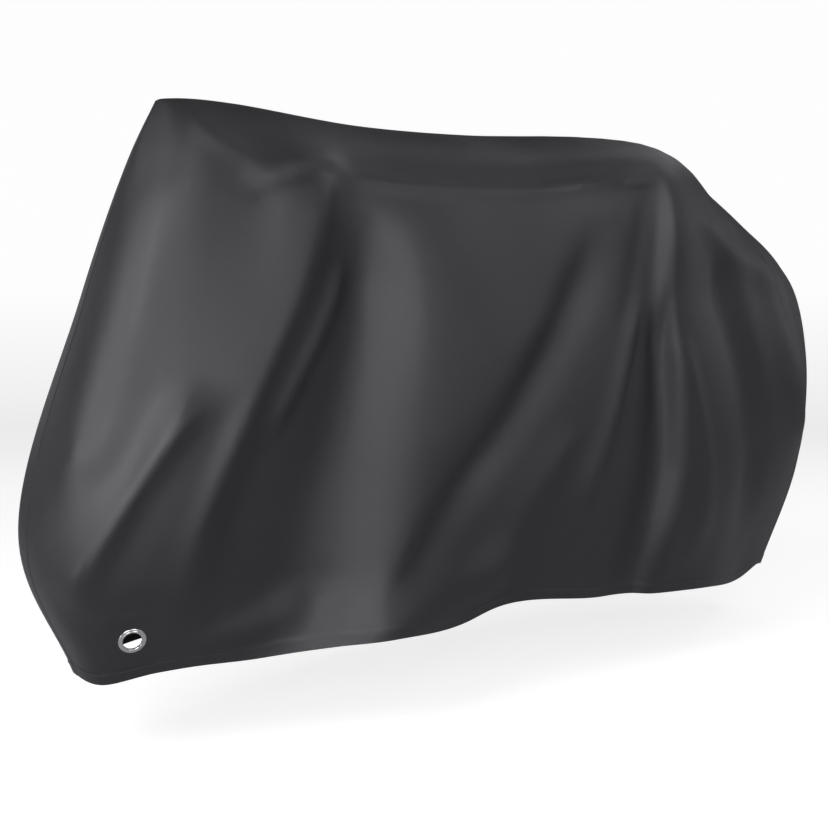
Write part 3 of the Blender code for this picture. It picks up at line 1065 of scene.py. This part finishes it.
@dataclass
class Eyelet:
    """One plated eyelet: a rolled front washer, its barrel and a flat back washer.

    The roll and the back lip are measured out from the hole, and the two rims in from the
    flange's edge. The first number is across and the second is off the washer's seat.
    """

    drape: Drape
    side: Side
    hole: float = 0.0140
    barrel: float = 0.0158
    flange: float = 0.0205
    cloth: float = 0.0012
    clearance: float = 0.00015
    roll: Steps = ((0.0, 0.0006), (0.0003, 0.0012), (0.0009, 0.0016), (0.0018, 0.0017),
                   (0.0027, 0.0014), (0.0032, 0.0009), (0.0035, 0.0008), (0.0043, 0.0011))
    rim: Steps = ((0.0012, 0.0010), (0.0004, 0.0006), (0.0, 0.0001), (0.0002, 0.0))
    back_rim: Steps = ((0.0004, 0.0), (0.0, 0.0003), (0.0006, 0.0008))
    back_lip: Steps = ((0.0012, 0.0011), (0.0003, 0.0007))
    steps: int = 96
    weld: float = 0.000001
    smooth_angle: float = 40.0

    def outline(self) -> list[tuple[float, float]]:
        """Draw the eyelet's section, from the hole's foot up, out, under and back.

        Returns:
            The (radius, height) points.
        """
        top = self.clearance
        low = -self.cloth - self.clearance
        roll = [(self.hole + out, top + up) for out, up in self.roll]
        rim = [(self.flange - inside, top + up) for inside, up in self.rim]
        barrel = [(self.barrel, top), (self.barrel, low)]
        back_rim = [(self.flange - inside, low - down) for inside, down in self.back_rim]
        back_lip = [(self.hole + out, low - down) for out, down in self.back_lip]
        return [(self.hole, low), *roll, *rim, *barrel, *back_rim, *back_lip]

    def build(self) -> bpy.types.Object:
        """Make the eyelet, extruded ring by ring round its hole.

        Returns:
            The eyelet, in its place.
        """
        deselect_all()
        outline = self.outline()
        bpy.ops.mesh.primitive_circle_add(vertices=self.steps, radius=outline[0][0],
                                          location=(0.0, 0.0, outline[0][1]))
        eyelet = bpy.context.object
        eyelet.name = f"eyelet_{self.side.name.lower()}_fine"
        bpy.ops.object.transform_apply(location=True, rotation=True, scale=True)
        bpy.ops.object.mode_set(mode="EDIT")
        bpy.ops.mesh.select_all(action="SELECT")
        for (radius, height), (next_radius, next_height) in zip(outline, outline[1:]):
            bpy.ops.mesh.extrude_edges_move()
            grow = next_radius / radius
            bpy.ops.transform.resize(value=(grow, grow, 1.0))
            bpy.ops.transform.translate(value=(0.0, 0.0, next_height - height))
        bpy.ops.mesh.select_all(action="DESELECT")
        bpy.ops.object.mode_set(mode="OBJECT")
        self.close(eyelet)
        eyelet.data.transform(self.drape.eyelet_frame(self.side))
        make_active(eyelet)
        bpy.ops.object.shade_smooth_by_angle(angle=math.radians(self.smooth_angle))
        return eyelet

    def close(self, eyelet: bpy.types.Object) -> None:
        """Bridge the last ring to the first, and point the faces outwards.

        Args:
            eyelet: the eyelet.
        """
        make_active(eyelet)
        bpy.ops.object.mode_set(mode="EDIT")
        bpy.ops.mesh.select_mode(type="EDGE")
        bpy.ops.mesh.select_non_manifold()
        bpy.ops.mesh.bridge_edge_loops()
        bpy.ops.mesh.select_all(action="SELECT")
        bpy.ops.mesh.remove_doubles(threshold=self.weld)
        bpy.ops.mesh.normals_make_consistent(inside=False)
        bpy.ops.object.mode_set(mode="OBJECT")


# ---- Studio ----


@dataclass(frozen=True)
class SoftBox:
    """An area light: where it stands, its size (m), its power (W), its aim and its colour."""

    name: str
    place: tuple[float, float, float]
    size: tuple[float, float]
    power: float
    aim: tuple[float, float, float] = (0.55, 0.0, -0.45)
    tint: Colour = (0.99, 0.98, 1.04)

    def build(self) -> None:
        """Add the light."""
        lamp = bpy.data.lights.new(self.name, "AREA")
        lamp.shape = "RECTANGLE"
        lamp.size, lamp.size_y = self.size
        lamp.energy = self.power
        lamp.color = self.tint
        holder = bpy.data.objects.new(self.name, lamp)
        holder.location = self.place
        holder.visible_camera = False
        away = Vector(self.place) - Vector(self.aim)
        holder.rotation_mode = "QUATERNION"
        holder.rotation_quaternion = away.to_track_quat("Z", "Y")
        bpy.context.scene.collection.objects.link(holder)


@dataclass
class Studio:
    """The pale floor with its round wall, the soft lights and the camera."""

    ground: float = -1.008
    floor_middle: tuple[float, float] = (0.4, 0.0)
    floor_radius: float = 6.0
    floor_sides: int = 96
    wall_bend: float = 2.0
    bend_steps: int = 8
    wall_height: float = 7.0
    smooth_angle: float = 30.0
    sky: float = 0.03
    camera_place: tuple[float, float, float] = (-0.8406, -1.6227, -0.3565)
    camera_yaw: float = 53.27
    camera_pitch: float = -4.37
    lens: float = 48.29
    sensor: float = 36.0
    lights: tuple[SoftBox, ...] = (
        SoftBox("key", (-2.64, -0.75, 1.84), (2.0, 2.0), 80.0),
        SoftBox("low key", (-2.22, -2.80, 0.24), (1.6, 1.6), 56.0),
        SoftBox("high fill", (-0.12, -3.21, 1.84), (2.0, 2.0), 20.0),
        SoftBox("low fill", (0.43, -3.94, 0.24), (1.6, 1.6), 22.0),
        SoftBox("side", (3.20, -2.81, 0.59), (2.0, 2.0), 11.0),
        SoftBox("front rim", (4.42, -0.59, 0.38), (1.6, 1.6), 5.0),
        SoftBox("rear", (-2.69, 2.24, 0.24), (2.0, 2.0), 7.0),
        SoftBox("top", (0.55, 0.00, 3.55), (2.0, 2.0), 3.0),
        SoftBox("back", (3.12, 0.06, 2.61), (2.4, 2.4), 18.0),
        SoftBox("shoulder", (3.07, -1.38, 2.33), (1.2, 1.2), 8.0),
        SoftBox("rear rim", (-0.68, 3.72, 0.38), (1.6, 1.6), 4.0),
        SoftBox("low left", (-2.84, -0.08, -0.63), (1.2, 0.8), 16.0),
        SoftBox("floor strip", (-0.45, -1.62, -0.90), (1.4, 0.18), 1.6),
    )

    def build(self, paper: bpy.types.Material) -> None:
        """Add the stage, the lights, the sky and the camera.

        Args:
            paper: the stage's finish.
        """
        self.build_stage(paper)
        for light in self.lights:
            light.build()
        self.build_sky()
        self.build_camera()

    def build_stage(self, paper: bpy.types.Material) -> None:
        """Add the floor and wall: a round sheet whose rim bends up.

        Args:
            paper: the sheet's finish.
        """
        deselect_all()
        bpy.ops.mesh.primitive_circle_add(vertices=self.floor_sides, radius=self.floor_radius,
                                          fill_type="NGON",
                                          location=(*self.floor_middle, self.ground))
        floor = bpy.context.object
        floor.name = "studio_floor"
        bpy.ops.object.mode_set(mode="EDIT")
        bpy.ops.mesh.select_all(action="SELECT")
        bpy.ops.mesh.region_to_loop()
        radius = self.floor_radius
        for step in range(1, self.bend_steps + 1):
            angle = math.radians(QUARTER_TURN * step / self.bend_steps)
            before = math.radians(QUARTER_TURN * (step - 1) / self.bend_steps)
            grown = radius + self.wall_bend * (math.sin(angle) - math.sin(before))
            bpy.ops.mesh.extrude_edges_move()
            bpy.ops.transform.resize(value=(grown / radius, grown / radius, 1.0))
            rise = self.wall_bend * (math.cos(before) - math.cos(angle))
            bpy.ops.transform.translate(value=(0.0, 0.0, rise))
            radius = grown
        bpy.ops.mesh.extrude_edges_move()
        bpy.ops.transform.translate(value=(0.0, 0.0, self.wall_height))
        bpy.ops.object.mode_set(mode="OBJECT")
        bpy.ops.object.shade_smooth_by_angle(angle=math.radians(self.smooth_angle))
        floor.data.materials.append(paper)

    def build_sky(self) -> None:
        """Add a faint even light from all round, and plain picture tones."""
        world = bpy.data.worlds.new("studio_air")
        world.use_nodes = True
        air = world.node_tree.nodes["Background"]
        NodeSheet(world.node_tree).feed(air, {"Color": WHITE, "Strength": self.sky})
        bpy.context.scene.world = world
        bpy.context.scene.view_settings.view_transform = "Standard"

    def build_camera(self) -> None:
        """Add the camera."""
        data = bpy.data.cameras.new("camera")
        data.lens = self.lens
        data.sensor_width = self.sensor
        camera = bpy.data.objects.new("camera", data)
        camera.location = self.camera_place
        camera.rotation_euler = (math.radians(QUARTER_TURN + self.camera_pitch), 0.0,
                                 math.radians(self.camera_yaw - QUARTER_TURN))
        bpy.context.scene.collection.objects.link(camera)
        bpy.context.scene.camera = camera


# ---- The whole ----


@dataclass
class BicycleCover:
    """The cover with all its pieces, dressed and fitted to the frame."""

    drape: Drape = field(default_factory=Drape)
    flat_width: float = 1.98
    flat_length: float = 2.05
    flat_area: float = 3.60

    def build(self) -> None:
        """Build and dress each piece, and say what it stands for."""
        cloth = CoverCloth(self.drape).build()
        cloth.data.materials.append(CoverClothFinish().build())
        self.fit(cloth, Slot.CLOTH, "cover_cloth", "eyelet_band")
        stitches = HemStitching(self.drape).build()
        stitches.data.materials.append(ThreadFinish().build())
        self.fit(stitches, Slot.CLOTH)
        metal = PlatedMetalFinish().build()
        for side in Side:
            eyelet = Eyelet(self.drape, side).build()
            eyelet.data.materials.append(metal)
            self.fit(eyelet, Slot.METAL, f"eyelet_{side.name.lower()}")

    def fit(self, piece: bpy.types.Object, slot: Slot, *nodes: str) -> None:
        """Ride a piece on the body, and put it in place of CAD nodes.

        Args:
            piece: the piece.
            slot: its material slot; not used.
            nodes: the names of the nodes that it replaces, if any.
        """
        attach(piece, BODY)
        if nodes:
            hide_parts(*nodes)
        LOG.info("%s: %d faces, in place of %s", piece.name, len(piece.data.polygons), nodes)


def main() -> None:
    """Build the cover and its studio."""
    logging.basicConfig(level=logging.INFO)
    BicycleCover().build()
    Studio().build(StudioFinish().build())


if __name__ == "__main__":
    main()
